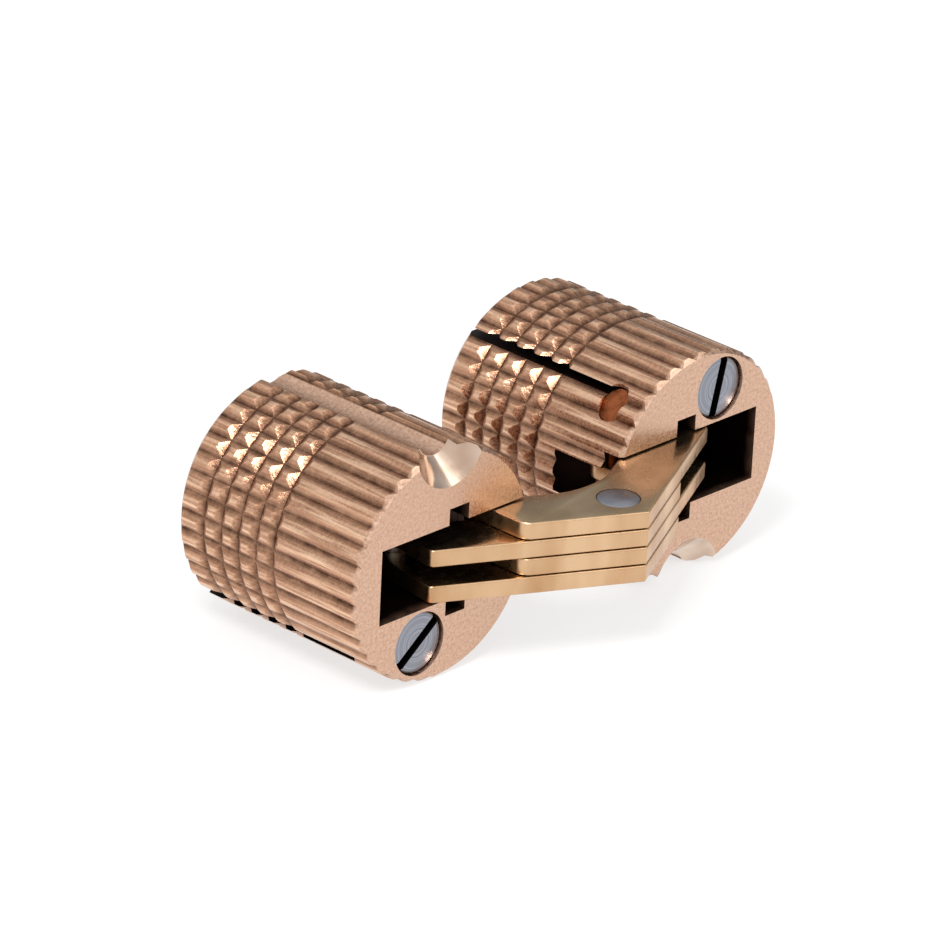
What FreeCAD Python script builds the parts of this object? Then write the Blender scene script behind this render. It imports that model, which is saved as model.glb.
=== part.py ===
"""Invisible barrel hinge: two knurled brass barrels joined by four cranked links, shown fully open.

Frame: +X from the frame barrel to the door barrel, +Y along the barrels towards their rear ends, +Z up along
the pins. The origin is under the middle of the hinge, on the surface that the barrels lie on. Millimetres.
"""
import FreeCAD
import Part

import math
import os

import Sketcher

doc = FreeCAD.newDocument("barrel_hinge")

# Plates in the stack; the frame pair and the door pair lie by turns
LINK_COUNT = 4

# Driving dimensions, one row each: name, size, what it is
SIZES = [
    ("barrel_diameter", 14.0, "over the knurl crests, the size of the drilled hole"),
    ("barrel_length", 14.4, "face to rear end"),
    ("barrel_gap", 7.0, "between the barrels' sides when open"),
    ("face_chamfer", 0.25, "on the front rim"),
    ("rear_chamfer", 0.6, "on the rear rim"),
    ("knurl_count", 36, "straight ridges round a barrel"),
    ("knurl_depth", 0.25, "crest to root"),
    ("knurl_land", 0.35, "flat left on a crest"),
    ("notch_count", 5, "notches that cut a ridge into pyramids"),
    ("notch_pitch", 1.4, "between notches"),
    ("notch_margin", 2.15, "rear end to the last notch"),
    ("notch_width", 1.0, "of a notch at the crests"),
    ("link_thickness", 1.06, "of one plate"),
    ("link_gap", 0.05, "between plates"),
    ("slot_clearance", 0.1, "plate stack to slot side"),
    ("slot_outer", 4.9, "barrel axis to the slot's outer wall"),
    ("slot_inner", 3.2, "barrel axis to the slot's deep inner wall"),
    ("slot_relief", 0.65, "extra room behind the mouth of the outer wall"),
    ("mouth_depth", 3.0, "of the slot at its true width"),
    ("window_depth", 4.9, "of the slot behind its inner side wall"),
    ("window_height", 2.6, "of the opening in the inner side wall"),
    ("lip_depth", 1.3, "face to the front of the inner side wall"),
    ("lip_wall", 0.78, "barrel rim to the slot behind the inner side wall"),
    ("floor_clearance", 0.2, "link end to slot floor when closed"),
    ("centre_reach", 3.43, "face to centre pin when open"),
    ("closed_gap", 0.4, "between the faces when closed"),
    ("nose_reach", 2.4, "centre pin to the links' nose"),
    ("nose_clearance", 0.1, "nose to the slot's outer wall when closed"),
    ("crank_angle", 27.4, "degrees between a link's front edges and the faces"),
    ("strip_width", 3.6, "of a link between its two arms"),
    ("hollow_radius", 5.0, "of the link's inner bend"),
    ("long_corner", 0.9, "barrel axis to the corner of a long arm"),
    ("tongue_radius", 1.12, "of a link's short end round the pivot pin"),
    ("hook_radius", 1.25, "of a link's long end round the guide pin"),
    ("corner_radius", 0.4, "on the long arm's corner"),
    ("shoulder_radius", 0.9, "on the short arm's corner"),
    ("pin_clearance", 0.03, "all round a pin in a link"),
    ("press_clearance", 0.01, "all round a pin that is fixed in a barrel"),
    ("centre_pin_diameter", 2.5, "joins the four links"),
    ("pivot_pin_diameter", 1.6, "fixed across a barrel"),
    ("pivot_pin_recess", 0.28, "knurl crests to the pivot pin's turned ends"),
    ("pivot_depth", 2.2, "face to pivot pin"),
    ("guide_pin_diameter", 1.45, "slides in the guide grooves"),
    ("guide_offset", 1.15, "barrel axis to the guide grooves"),
    ("guide_clearance", 0.05, "guide pin to groove side"),
    ("guide_depth", 1.0, "of a guide groove in the slot's side"),
    ("guide_end_clearance", 0.2, "guide pin's ends to the groove floors"),
    ("track_bow", 2.0, "sideways room of the inner track"),
    ("track_lead", 1.0, "of the inner track before the open position"),
    ("track_tail", 0.6, "of the inner track past the closed position"),
    ("screw_diameter", 3.75, "of the expander screw"),
    ("screw_clearance", 0.05, "all round the expander screw"),
    ("screw_offset", 1.6, "barrel axis to the screw, outwards"),
    ("screw_wall", 0.16, "knurl root to the screw hole"),
    ("screw_length", 6.0, "head to tip"),
    ("screw_cone", 1.6, "length of the cone at the tip"),
    ("screw_tip_diameter", 0.8, "flat at the tip"),
    ("screw_recess", 0.15, "head below the face"),
    ("screw_bevel", 0.2, "round the head"),
    ("driver_slot_width", 0.6, "across the head"),
    ("driver_slot_depth", 0.9, "into the head"),
    ("frame_driver_angle", 38.0, "degrees, how the frame barrel's screw was left"),
    ("door_driver_angle", 77.0, "degrees, how the door barrel's screw was left"),
    ("slit_width", 0.65, "of the saw slit that lets the rear spread"),
    ("slit_inset", 1.95, "barrel rim to the middle of the saw slit"),
    ("slit_start", 2.0, "face to the slit's front end"),
    ("sink_offset", 0.3, "barrel axis to the wood screw, inwards"),
    ("sink_proud", 0.4, "barrel rim out to the wood screw's axis"),
    ("sink_radius", 2.7, "of the wood screw's head at the face"),
    ("shank_radius", 1.25, "of the wood screw's groove along the barrel"),
]

# Worked-out places of the linkage, in the frame barrel's own frame: axis at the origin, face at y = 0
LINKAGE = [
    ("axis_z", "Sizes.barrel_diameter / 2"),
    ("face_y", "(Sizes.centre_reach + Sizes.nose_reach - Sizes.barrel_length) / 2"),
    ("centre_x", "(Sizes.barrel_diameter + Sizes.barrel_gap) / 2"),
    ("closed_x", "Sizes.nose_reach + Sizes.nose_clearance - Sizes.slot_outer"),
    ("half_gap", "Sizes.closed_gap / 2"),
    ("pivot_rise", "Sizes.pivot_depth + Sizes.centre_reach"),
    ("closed_rise", "Sizes.pivot_depth + Sizes.closed_gap / 2"),
    ("pivot_x", "(centre_x ^ 2 - closed_x ^ 2 + pivot_rise ^ 2 - closed_rise ^ 2)"
                " / (2 * (centre_x - closed_x))"),
    ("short_reach", "centre_x - pivot_x"),
    ("swing_cosine", "(short_reach * (closed_x - pivot_x) + pivot_rise * closed_rise) "
                     "/ (short_reach ^ 2 + pivot_rise ^ 2)"),
    ("frame_swing", "acos(swing_cosine)"),
    ("long_reach", "centre_x - Sizes.guide_offset"),
    ("closed_reach", "Sizes.guide_offset - closed_x"),
    ("guide_rise", "(closed_reach - long_reach * cos(frame_swing)) / sin(frame_swing)"),
    ("guide_open", "guide_rise - Sizes.centre_reach"),
    ("guide_closed", "sqrt(long_reach ^ 2 + guide_rise ^ 2 - closed_reach ^ 2) - half_gap"),
    ("slot_depth", "guide_closed + Sizes.hook_radius + Sizes.floor_clearance"),
    ("link_pitch", "Sizes.link_thickness + Sizes.link_gap"),
    ("stack_height", f"{LINK_COUNT} * link_pitch - Sizes.link_gap"),
    ("slot_height", "stack_height + 2 * Sizes.slot_clearance"),
    ("groove_height", "slot_height + 2 * Sizes.guide_depth"),
    ("groove_half", "Sizes.guide_pin_diameter / 2 + Sizes.guide_clearance"),
    ("track_start", "guide_open - Sizes.track_lead"),
    ("track_end", "guide_closed + Sizes.track_tail"),
    ("track_half", "(track_end - track_start) / 2"),
    ("track_radius", "(track_half ^ 2 + Sizes.track_bow ^ 2) / (2 * Sizes.track_bow)"),
    ("slope", "tan(Sizes.crank_angle)"),
    ("strip_rise", "Sizes.strip_width / cos(Sizes.crank_angle)"),
    ("hollow_y", "strip_rise - Sizes.nose_reach + Sizes.hollow_radius / cos(Sizes.crank_angle)"),
    ("shoulder_x", "short_reach + Sizes.tongue_radius"),
    ("armpit_x", "short_reach - Sizes.tongue_radius"),
    ("hook_x", "long_reach - Sizes.hook_radius"),
    ("corner_x", "centre_x + Sizes.long_corner"),
    ("knurl_half", "(Sizes.barrel_diameter * pi / Sizes.knurl_count - Sizes.knurl_land) / 2"),
    ("half_pitch", "180 / Sizes.knurl_count"),
    ("notch_first", "Sizes.barrel_length - Sizes.notch_margin"),
    ("screw_radius", "Sizes.screw_diameter / 2"),
    ("screw_reach", "axis_z - Sizes.knurl_depth - Sizes.screw_wall - screw_radius - Sizes.screw_clearance"),
    ("screw_drop", "sqrt(screw_reach ^ 2 - Sizes.screw_offset ^ 2)"),
    ("slit_drop", "axis_z - Sizes.slit_inset"),
    ("sink_height", "axis_z + Sizes.sink_proud"),
    ("lip_x", "axis_z - Sizes.lip_wall"),
    ("past", "Sizes.barrel_diameter"),
]


def make_sheet(name, rows):
    """A spreadsheet with one named cell per row; the first column says what the value is."""
    sheet = doc.addObject("Spreadsheet::Sheet", name)
    for number, (alias, content, label) in enumerate(rows, start=1):
        sheet.set(f"A{number}", label)
        sheet.set(f"B{number}", content)
        sheet.setAlias(f"B{number}", alias)
    doc.recompute()
    return sheet


sizes = make_sheet("Sizes", [(alias, str(value), label) for alias, value, label in SIZES])
linkage = make_sheet("Linkage", [(alias, "=" + formula, alias) for alias, formula in LINKAGE])


def value(expression):
    """The number that an expression of the sheets gives now."""
    result = linkage.evalExpression(expression)
    return float(getattr(result, "Value", result))


def bind(item, **expressions):
    """Ties properties to expressions; a double underscore in a name stands for a dot."""
    for name, expression in expressions.items():
        item.setExpression(name.replace("__", "."), expression)


def sketch_on(body, plane, name):
    """An empty sketch on one of the body's own origin planes."""
    sketch = body.newObject("Sketcher::SketchObject", name)
    support = [item for item in body.Origin.OriginFeatures if item.Role == plane]
    sketch.AttachmentSupport = [(support[0], "")]
    sketch.MapMode = "FlatFace"
    return sketch


def axis_of(body, role):
    """One of the body's own origin axes."""
    return [item for item in body.Origin.OriginFeatures if item.Role == role][0]


def fix_point(sketch, geometry, position, x, y):
    """Ties a point of the sketch to two expressions."""
    for kind, expression in (("DistanceX", x), ("DistanceY", y)):
        origin_to_point = Sketcher.Constraint(kind, -1, 1, geometry, position, value(expression))
        number = sketch.addConstraint(origin_to_point)
        sketch.setExpression(f"Constraints[{number}]", expression)


def fix_size(sketch, kind, geometry, expression):
    """Ties a radius or diameter to an expression."""
    number = sketch.addConstraint(Sketcher.Constraint(kind, geometry, value(expression)))
    sketch.setExpression(f"Constraints[{number}]", expression)


def circle(sketch, x, y, diameter):
    """A circle at two expressions."""
    centre = FreeCAD.Vector(value(x), value(y), 0)
    number = sketch.addGeometry(Part.Circle(centre, FreeCAD.Vector(0, 0, 1), value(diameter) / 2))
    fix_point(sketch, number, 3, x, y)
    fix_size(sketch, "Diameter", number, diameter)


def tangent_from(point, centre, radius, turn, leaving):
    """Where a line between a point and an arc touches the arc; turn is 1 anticlockwise, -1 clockwise."""
    ahead = (point - centre) if leaving else (centre - point)
    lean = math.asin(radius / ahead.Length) * turn
    heading = math.atan2(ahead.y, ahead.x) + (lean if leaving else -lean)
    return centre + FreeCAD.Vector(math.sin(heading), -math.cos(heading), 0) * radius * turn


def outline(sketch, *stops):
    """A closed outline: (x, y) is a corner, (x, y, radius, turn) an arc touched by its neighbours."""
    places = [FreeCAD.Vector(value(stop[0]), value(stop[1]), 0) for stop in stops]
    starts, ends, arcs = [], [], {}
    for number, stop in enumerate(stops):
        here, before, after = places[number], places[number - 1], places[(number + 1) % len(stops)]
        if len(stop) == 2:
            starts.append(here)
            ends.append(here)
            continue
        radius = value(stop[2])
        starts.append(tangent_from(before, here, radius, stop[3], False))
        ends.append(tangent_from(after, here, radius, stop[3], True))
    pieces = []
    for number, stop in enumerate(stops):
        if len(stop) == 4:
            angles = [math.atan2(spot.y - places[number].y, spot.x - places[number].x)
                      for spot in (starts[number], ends[number])]
            if stop[3] < 0:
                angles.reverse()
            whole = Part.Circle(places[number], FreeCAD.Vector(0, 0, 1), value(stop[2]))
            arcs[number] = sketch.addGeometry(Part.ArcOfCircle(whole, angles[0], angles[1]))
        after = (number + 1) % len(stops)
        pieces.append(sketch.addGeometry(Part.LineSegment(ends[number], starts[after])))
    for number, stop in enumerate(stops):
        line_in, line_out = pieces[number - 1], pieces[number]
        if len(stop) == 2:
            sketch.addConstraint(Sketcher.Constraint("Coincident", line_in, 2, line_out, 1))
            fix_point(sketch, line_out, 1, stop[0], stop[1])
            continue
        first, last = (1, 2) if stop[3] > 0 else (2, 1)
        sketch.addConstraint(Sketcher.Constraint("Tangent", line_in, 2, arcs[number], first))
        sketch.addConstraint(Sketcher.Constraint("Tangent", arcs[number], last, line_out, 1))
        fix_point(sketch, arcs[number], 3, stop[0], stop[1])
        fix_size(sketch, "Radius", arcs[number], stop[2])


def feature(body, kind, name, sketch, **expressions):
    """A sketch-based feature of the body with its sizes tied to the sheets."""
    item = body.newObject(kind, name)
    item.Profile = sketch
    bind(item, **expressions)
    return item


def across(body, kind, name, sketch, height):
    """A pad or pocket to both sides of the sketch plane."""
    item = feature(body, kind, name, sketch, Length=height)
    item.SideType = "Symmetric"
    return item


def pattern(body, kind, name, **expressions):
    """A repeat of features, as the body's newest state, with its sizes tied to the sheets."""
    item = body.newObject(kind, name)
    bind(item, **expressions)
    item.Refine = False
    body.Tip = item
    return item


def knurl(body):
    """Straight ridges along the barrel, with rows of notches that cut their rear ends into pyramids."""
    vee = sketch_on(body, "XZ_Plane", "knurl_profile")
    outward, along = "sin(Linkage.half_pitch)", "cos(Linkage.half_pitch)"
    root, rim = "(Linkage.axis_z - Sizes.knurl_depth)", "(Linkage.axis_z + Sizes.knurl_depth)"
    reach = "2 * Linkage.knurl_half"
    outline(vee, (f"{root} * {outward}", f"{root} * {along}"),
            (f"{rim} * {outward} + {reach} * {along}", f"{rim} * {along} - {reach} * {outward}"),
            (f"{rim} * {outward} - {reach} * {along}", f"{rim} * {along} + {reach} * {outward}"))
    groove = feature(body, "PartDesign::Pocket", "knurl_groove", vee, Length="Sizes.barrel_length")
    ridges = pattern(body, "PartDesign::PolarPattern", "knurl_ridges", Occurrences="Sizes.knurl_count")
    ridges.Originals = [groove]
    round_axis(ridges, body)
    doc.recompute()
    notch_profile = sketch_on(body, "YZ_Plane", "notch_profile")
    outline(notch_profile, ("Linkage.notch_first", root),
            ("Linkage.notch_first + Sizes.notch_width", rim),
            ("Linkage.notch_first - Sizes.notch_width", rim))
    notch = across(body, "PartDesign::Pocket", "ridge_notch", notch_profile,
                   "2 * Linkage.knurl_half + Sizes.knurl_land")
    row = pattern(body, "PartDesign::LinearPattern", "notch_row", Occurrences="Sizes.notch_count",
                  Length="Sizes.notch_pitch * (Sizes.notch_count - 1)")
    row.Direction = (axis_of(body, "Y_Axis"), [""])
    row.Reversed = True
    turns = pattern(body, "PartDesign::PolarPattern", "notch_turns", Occurrences="Sizes.knurl_count")
    round_axis(turns, body)
    pyramids = pattern(body, "PartDesign::MultiTransform", "knurl_pyramids")
    pyramids.Originals = [notch]
    pyramids.Transformations = [row, turns]
    body.Tip = pyramids


def round_axis(item, body):
    """Spreads a pattern evenly round the barrel's axis."""
    item.Axis = (axis_of(body, "Y_Axis"), [""])
    item.Angle = 360


def rim_chamfers(body):
    """Small bevels on the front and rear ends of every ridge."""
    rims = sketch_on(body, "YZ_Plane", "rim_profile")
    high = "Linkage.axis_z + Sizes.knurl_depth"
    outline(rims, ("0", "Linkage.axis_z - Sizes.face_chamfer"), ("0", high),
            ("Sizes.face_chamfer + Sizes.knurl_depth", high))
    outline(rims, ("Sizes.barrel_length", "Linkage.axis_z - Sizes.rear_chamfer"),
            ("Sizes.barrel_length - Sizes.rear_chamfer - Sizes.knurl_depth", high),
            ("Sizes.barrel_length", high))
    ridge = "2 * Linkage.knurl_half + Sizes.knurl_land"
    bevels = across(body, "PartDesign::Pocket", "ridge_bevels", rims, ridge)
    turns = pattern(body, "PartDesign::PolarPattern", "rim_bevels", Occurrences="Sizes.knurl_count")
    turns.Originals = [bevels]
    round_axis(turns, body)
    doc.recompute()


def link_slot(body):
    """The slot for the links, open at the face and by a window at the inner side, with its guide grooves."""
    room = sketch_on(body, "XY_Plane", "slot_profile")
    outline(room, ("-Sizes.slot_outer", "-Linkage.past"), ("Linkage.past", "-Linkage.past"),
            ("Linkage.past", "Sizes.lip_depth"), ("Linkage.lip_x", "Sizes.lip_depth"),
            ("Linkage.lip_x", "Sizes.window_depth"), ("Sizes.slot_inner", "Sizes.window_depth"),
            ("Sizes.slot_inner", "Linkage.slot_depth"),
            ("-Sizes.slot_outer - Sizes.slot_relief", "Linkage.slot_depth"),
            ("-Sizes.slot_outer - Sizes.slot_relief", "Sizes.mouth_depth"),
            ("-Sizes.slot_outer", "Sizes.mouth_depth"))
    across(body, "PartDesign::Pocket", "link_slot", room, "Linkage.slot_height")
    side = sketch_on(body, "XY_Plane", "window_profile")
    outline(side, ("Sizes.slot_inner", "0"), ("Linkage.past", "0"), ("Linkage.past", "Sizes.window_depth"),
            ("Sizes.slot_inner", "Sizes.window_depth"))
    across(body, "PartDesign::Pocket", "side_window", side, "Sizes.window_height")
    entry = sketch_on(body, "XY_Plane", "guide_profile")
    outline(entry, ("Sizes.guide_offset - Linkage.groove_half", "-Linkage.past"),
            ("Sizes.guide_offset + Linkage.groove_half", "-Linkage.past"),
            ("Sizes.guide_offset", "Linkage.guide_closed", "Linkage.groove_half", 1))
    across(body, "PartDesign::Pocket", "guide_grooves", entry, "Linkage.groove_height")
    track = sketch_on(body, "XY_Plane", "track_profile")
    bow_line(track)
    across(body, "PartDesign::Pocket", "guide_track", track, "Linkage.groove_height")


def bow_line(sketch):
    """The bowed side room of the guide track: a chord along the groove and one arc away from it."""
    chord_x = "Sizes.guide_offset - Linkage.groove_half"
    low = FreeCAD.Vector(value(chord_x), value("Linkage.track_start"), 0)
    high = FreeCAD.Vector(value(chord_x), value("Linkage.track_end"), 0)
    middle = (low + high) / 2 - FreeCAD.Vector(value("Sizes.track_bow"), 0, 0)
    chord = sketch.addGeometry(Part.LineSegment(low, high))
    arc = sketch.addGeometry(Part.Arc(high, middle, low))
    sketch.addConstraint(Sketcher.Constraint("Coincident", chord, 2, arc, 1))
    sketch.addConstraint(Sketcher.Constraint("Coincident", chord, 1, arc, 2))
    fix_point(sketch, chord, 1, chord_x, "Linkage.track_start")
    fix_point(sketch, chord, 2, chord_x, "Linkage.track_end")
    fix_size(sketch, "Radius", arc, "Linkage.track_radius")


def pivot_hole(body):
    """The hole across the barrel that holds the pivot pin."""
    spot = sketch_on(body, "XY_Plane", "pivot_profile")
    bore = "Sizes.pivot_pin_diameter + 2 * Sizes.press_clearance"
    circle(spot, "Linkage.pivot_x", "Sizes.pivot_depth", bore)
    across(body, "PartDesign::Pocket", "pivot_hole", spot, "2 * Linkage.past")


def expander_cuts(body):
    """The expander screw's hole with its cone seat, and the saw slit that runs into it."""
    mouth = sketch_on(body, "XZ_Plane", "screw_profile")
    bore = "Sizes.screw_diameter + 2 * Sizes.screw_clearance"
    deep = "Sizes.screw_recess + Sizes.screw_length - Sizes.screw_cone + Sizes.screw_clearance"
    circle(mouth, "-Sizes.screw_offset", "-Linkage.screw_drop", bore)
    feature(body, "PartDesign::Pocket", "screw_hole", mouth,
            Length=deep)
    seat = body.newObject("PartDesign::SubtractiveCone", "screw_seat")
    bind(seat, Radius1="Linkage.screw_radius + Sizes.screw_clearance", Height="Sizes.screw_cone",
         Radius2="Sizes.screw_tip_diameter / 2 + Sizes.screw_clearance",
         Placement__Base__x="-Sizes.screw_offset", Placement__Base__y=deep,
         Placement__Base__z="-Linkage.screw_drop")
    seat.Placement.Rotation = ALONG_Y
    slit = sketch_on(body, "YZ_Plane", "slit_profile")
    low, high = "-Linkage.slit_drop - Sizes.slit_width / 2", "-Linkage.slit_drop + Sizes.slit_width / 2"
    beyond = "Sizes.barrel_length + Linkage.past"
    outline(slit, ("Sizes.slit_start", low), (beyond, low), (beyond, high), ("Sizes.slit_start", high))
    across(body, "PartDesign::Pocket", "saw_slit", slit, "2 * Linkage.past")


def wood_screw_recess(body):
    """Half a countersunk hole in the face, and a shallow groove for the wood screw's shank behind it."""
    sink = body.newObject("PartDesign::SubtractiveCone", "screw_sink")
    bind(sink, Radius1="Sizes.sink_radius", Radius2="Sizes.shank_radius",
         Height="Sizes.sink_radius - Sizes.shank_radius",
         Placement__Base__x="Sizes.sink_offset", Placement__Base__z="Linkage.sink_height")
    sink.Placement.Rotation = ALONG_Y
    shank = body.newObject("PartDesign::SubtractiveCylinder", "shank_groove")
    bind(shank, Radius="Sizes.shank_radius", Height="Sizes.barrel_length",
         Placement__Base__x="Sizes.sink_offset", Placement__Base__z="Linkage.sink_height")
    shank.Placement.Rotation = ALONG_Y


ALONG_Y = FreeCAD.Rotation(FreeCAD.Vector(1, 0, 0), -90)
HALF_TURN = FreeCAD.Rotation(FreeCAD.Vector(0, 1, 0), 180)
NO_TURN = FreeCAD.Rotation()


def flats_round(sketch, count):
    """The barrel's section before knurling: one narrow flat for each ridge crest."""
    corner = "Linkage.axis_z / cos(Linkage.half_pitch)"
    turns = [f"({2 * number + 1} * Linkage.half_pitch)" for number in range(count)]
    outline(sketch, *[(f"{corner} * sin{turn}", f"{corner} * cos{turn}") for turn in turns])


def make_barrel(label):
    """One barrel about its own axis: face at y = 0, the links leave towards +X."""
    body = doc.addObject("PartDesign::Body", label)
    blank = sketch_on(body, "XZ_Plane", "blank_profile")
    flats_round(blank, round(value("Sizes.knurl_count")))
    turned = feature(body, "PartDesign::Pad", "blank", blank, Length="Sizes.barrel_length")
    turned.Reversed = True
    doc.recompute()
    rim_chamfers(body)
    link_slot(body)
    pivot_hole(body)
    expander_cuts(body)
    wood_screw_recess(body)
    doc.recompute()
    knurl(body)
    return body


def make_twin(label, original):
    """A second piece of the same shape."""
    body = doc.addObject("PartDesign::Body", label)
    body.BaseFeature = original
    return body


def make_link(label):
    """One cranked plate about the centre pin, with its long arm towards -X."""
    body = doc.addObject("PartDesign::Body", label)
    plate = sketch_on(body, "XY_Plane", "plate_profile")
    front = "-Sizes.nose_reach + Linkage.slope * "
    back = "Linkage.strip_rise - Sizes.nose_reach + Linkage.slope * "
    outline(plate, ("0", "-Sizes.nose_reach"),
            ("Linkage.shoulder_x", front + "Linkage.shoulder_x"),
            ("Linkage.short_reach", "Linkage.pivot_rise", "Sizes.tongue_radius", 1),
            ("Linkage.armpit_x", back + "Linkage.armpit_x"),
            ("0", "Linkage.hollow_y", "Sizes.hollow_radius", -1),
            ("-Linkage.hook_x", back + "Linkage.hook_x"),
            ("-Linkage.long_reach", "Linkage.guide_rise", "Sizes.hook_radius", 1),
            ("-Linkage.corner_x", front + "Linkage.corner_x"))
    room = " + 2 * Sizes.pin_clearance"
    circle(plate, "0", "0", "Sizes.centre_pin_diameter" + room)
    circle(plate, "Linkage.short_reach", "Linkage.pivot_rise", "Sizes.pivot_pin_diameter" + room)
    circle(plate, "-Linkage.long_reach", "Linkage.guide_rise", "Sizes.guide_pin_diameter" + room)
    pad = across(body, "PartDesign::Pad", "plate", plate, "Sizes.link_thickness")
    doc.recompute()
    for name, corner_x, radius in (("corner_round", "-Linkage.corner_x", "Sizes.corner_radius"),
                                   ("shoulder_round", "Linkage.shoulder_x", "Sizes.shoulder_radius")):
        rounding = body.newObject("PartDesign::Fillet", name)
        rounding.Base = (pad, [upright_edge(pad.Shape, value(corner_x), value(front + corner_x.lstrip("-")))])
        bind(rounding, Radius=radius)
        doc.recompute()
        pad = rounding
    return body


def upright_edge(shape, x, y):
    """The name of the edge that stands at a corner of a plate."""
    for number, edge in enumerate(shape.Edges, start=1):
        ends = [vertex.Point for vertex in edge.Vertexes]
        level = all(math.hypot(end.x - x, end.y - y) < 0.001 for end in ends)
        if len(ends) == 2 and level:
            return f"Edge{number}"
    raise ValueError(f"no upright edge at {x}, {y}")


def make_pin(label, diameter, length):
    """A plain round pin, upright, about its own middle."""
    pin = doc.addObject("Part::Cylinder", label)
    bind(pin, Radius=f"{diameter} / 2", Height=length)
    return pin


def make_pivot_pin(label, side):
    """The fixed pin of one barrel, its ends turned down with the barrel to just below the knurl."""
    bar = make_pin(label + "_bar", "Sizes.pivot_pin_diameter", "Sizes.barrel_diameter")
    put(bar, NO_TURN, f"{side} * Linkage.short_reach", "Linkage.face_y + Sizes.pivot_depth", "0")
    turned = make_pin(label + "_turning", "(Sizes.barrel_diameter - 2 * Sizes.pivot_pin_recess)",
                      "Sizes.barrel_length")
    put(turned, ALONG_Y, f"{side} * Linkage.centre_x", "Linkage.face_y", "Linkage.axis_z")
    pin = doc.addObject("Part::Common", label)
    pin.Base = bar
    pin.Tool = turned
    return pin


def make_screw(label, driver_angle):
    """A headless screw along +Y with a cone at its tip and a driver slot across its head."""
    body = doc.addObject("PartDesign::Body", label)
    half = sketch_on(body, "XY_Plane", "screw_half")
    outline(half, ("0", "0"), ("Linkage.screw_radius - Sizes.screw_bevel", "0"),
            ("Linkage.screw_radius", "Sizes.screw_bevel"),
            ("Linkage.screw_radius", "Sizes.screw_length - Sizes.screw_cone"),
            ("Sizes.screw_tip_diameter / 2", "Sizes.screw_length"), ("0", "Sizes.screw_length"))
    turned = feature(body, "PartDesign::Revolution", "shank", half)
    turned.ReferenceAxis = (axis_of(body, "Y_Axis"), [""])
    turned.Angle = 360
    doc.recompute()
    driver = sketch_on(body, "YZ_Plane", "driver_profile")
    left, right = "-Sizes.driver_slot_width / 2", "Sizes.driver_slot_width / 2"
    floor, above = "Sizes.driver_slot_depth", "-Sizes.driver_slot_depth"
    outline(driver, (above, left), (floor, left), (floor, right), (above, right))
    across(body, "PartDesign::Pocket", "driver_slot", driver, "2 * Sizes.screw_diameter")
    body.Placement.Rotation = FreeCAD.Rotation(FreeCAD.Vector(0, 1, 0), -value(driver_angle))
    return body


def put(item, rotation, x, y, z):
    """Places a sub-part in the hinge's frame by expressions."""
    item.Placement.Rotation = rotation
    bind(item, Placement__Base__x=x, Placement__Base__y=y, Placement__Base__z=z)
    return item


nodes = []

# The two barrels are alike; the door barrel is turned half way round about its own axis
frame_barrel = make_barrel("frame_barrel")
door_barrel = make_twin("door_barrel", frame_barrel)
nodes.append(put(frame_barrel, NO_TURN, "-Linkage.centre_x", "Linkage.face_y", "Linkage.axis_z"))
nodes.append(put(door_barrel, HALF_TURN, "Linkage.centre_x", "Linkage.face_y", "Linkage.axis_z"))

# The links are alike; every other one is turned over, and the first lies on top
for number in range(1, LINK_COUNT + 1):
    turn = HALF_TURN if number % 2 else NO_TURN
    steps_up = (LINK_COUNT + 1) / 2 - number
    level = f"Linkage.axis_z + Linkage.link_pitch * {steps_up}"
    nodes.append(put(make_link(f"link_{number}"), turn, "0", "Linkage.face_y - Sizes.centre_reach", level))

pin_rows = [
    ("centre_pin", "Sizes.centre_pin_diameter", "Linkage.stack_height", "0", "-Sizes.centre_reach"),
    ("frame_guide_pin", "Sizes.guide_pin_diameter", "Linkage.groove_height - 2 * Sizes.guide_end_clearance",
     "-Linkage.long_reach", "Linkage.guide_open"),
    ("door_guide_pin", "Sizes.guide_pin_diameter", "Linkage.groove_height - 2 * Sizes.guide_end_clearance",
     "Linkage.long_reach", "Linkage.guide_open"),
]
for label, diameter, length, x, depth in pin_rows:
    pin = make_pin(label, diameter, length)
    nodes.append(put(pin, NO_TURN, x, f"Linkage.face_y + ({depth})", f"Linkage.axis_z - ({length}) / 2"))
for label, side in (("frame_pivot_pin", -1), ("door_pivot_pin", 1)):
    nodes.append(make_pivot_pin(label, side))

# Each screw sits on the far side of its barrel's slot, as it was last turned
for label, side, driver_angle in (("frame_expander_screw", -1, "Sizes.frame_driver_angle"),
                                  ("door_expander_screw", 1, "Sizes.door_driver_angle")):
    screw = make_screw(label, driver_angle)
    nodes.append(put(screw, screw.Placement.Rotation, f"{side} * (Linkage.centre_x + Sizes.screw_offset)",
                     "Linkage.face_y + Sizes.screw_recess",
                     f"Linkage.axis_z + {side} * Linkage.screw_drop"))

doc.recompute()

failed = [item.Name for item in doc.Objects if {"Invalid", "Error"} & set(item.State)]
if failed:
    raise RuntimeError("objects that did not build: " + ", ".join(failed))
for node in nodes:
    if node.Shape.isNull() or not node.Shape.isValid() or len(node.Shape.Solids) != 1:
        raise RuntimeError(node.Label + " is not one valid solid")

os.makedirs("parts", exist_ok=True)
for node in nodes:
    node.Shape.exportStep(os.path.join("parts", node.Label + ".step"))
    print(node.Label, "volume", round(node.Shape.Volume, 2), "mm3")
print("frame swing", round(value("Linkage.frame_swing"), 4), "degrees")
REACHES = ("Linkage.pivot_x", "Linkage.guide_open", "Linkage.guide_closed")
print("pivot", [round(value(name), 4) for name in REACHES])
print("face", round(value("Linkage.face_y"), 4), "slot depth", round(value("Linkage.slot_depth"), 4))
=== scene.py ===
# %% [markdown]
# # An invisible barrel hinge
# Two knurled brass barrels are joined by a stack of four cranked plates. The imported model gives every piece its
# place and its motion. This lesson models each piece again with finer edges, gives it a real metal finish, and
# sets up the camera and a soft studio.

# %% Load the frame
import math

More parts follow.
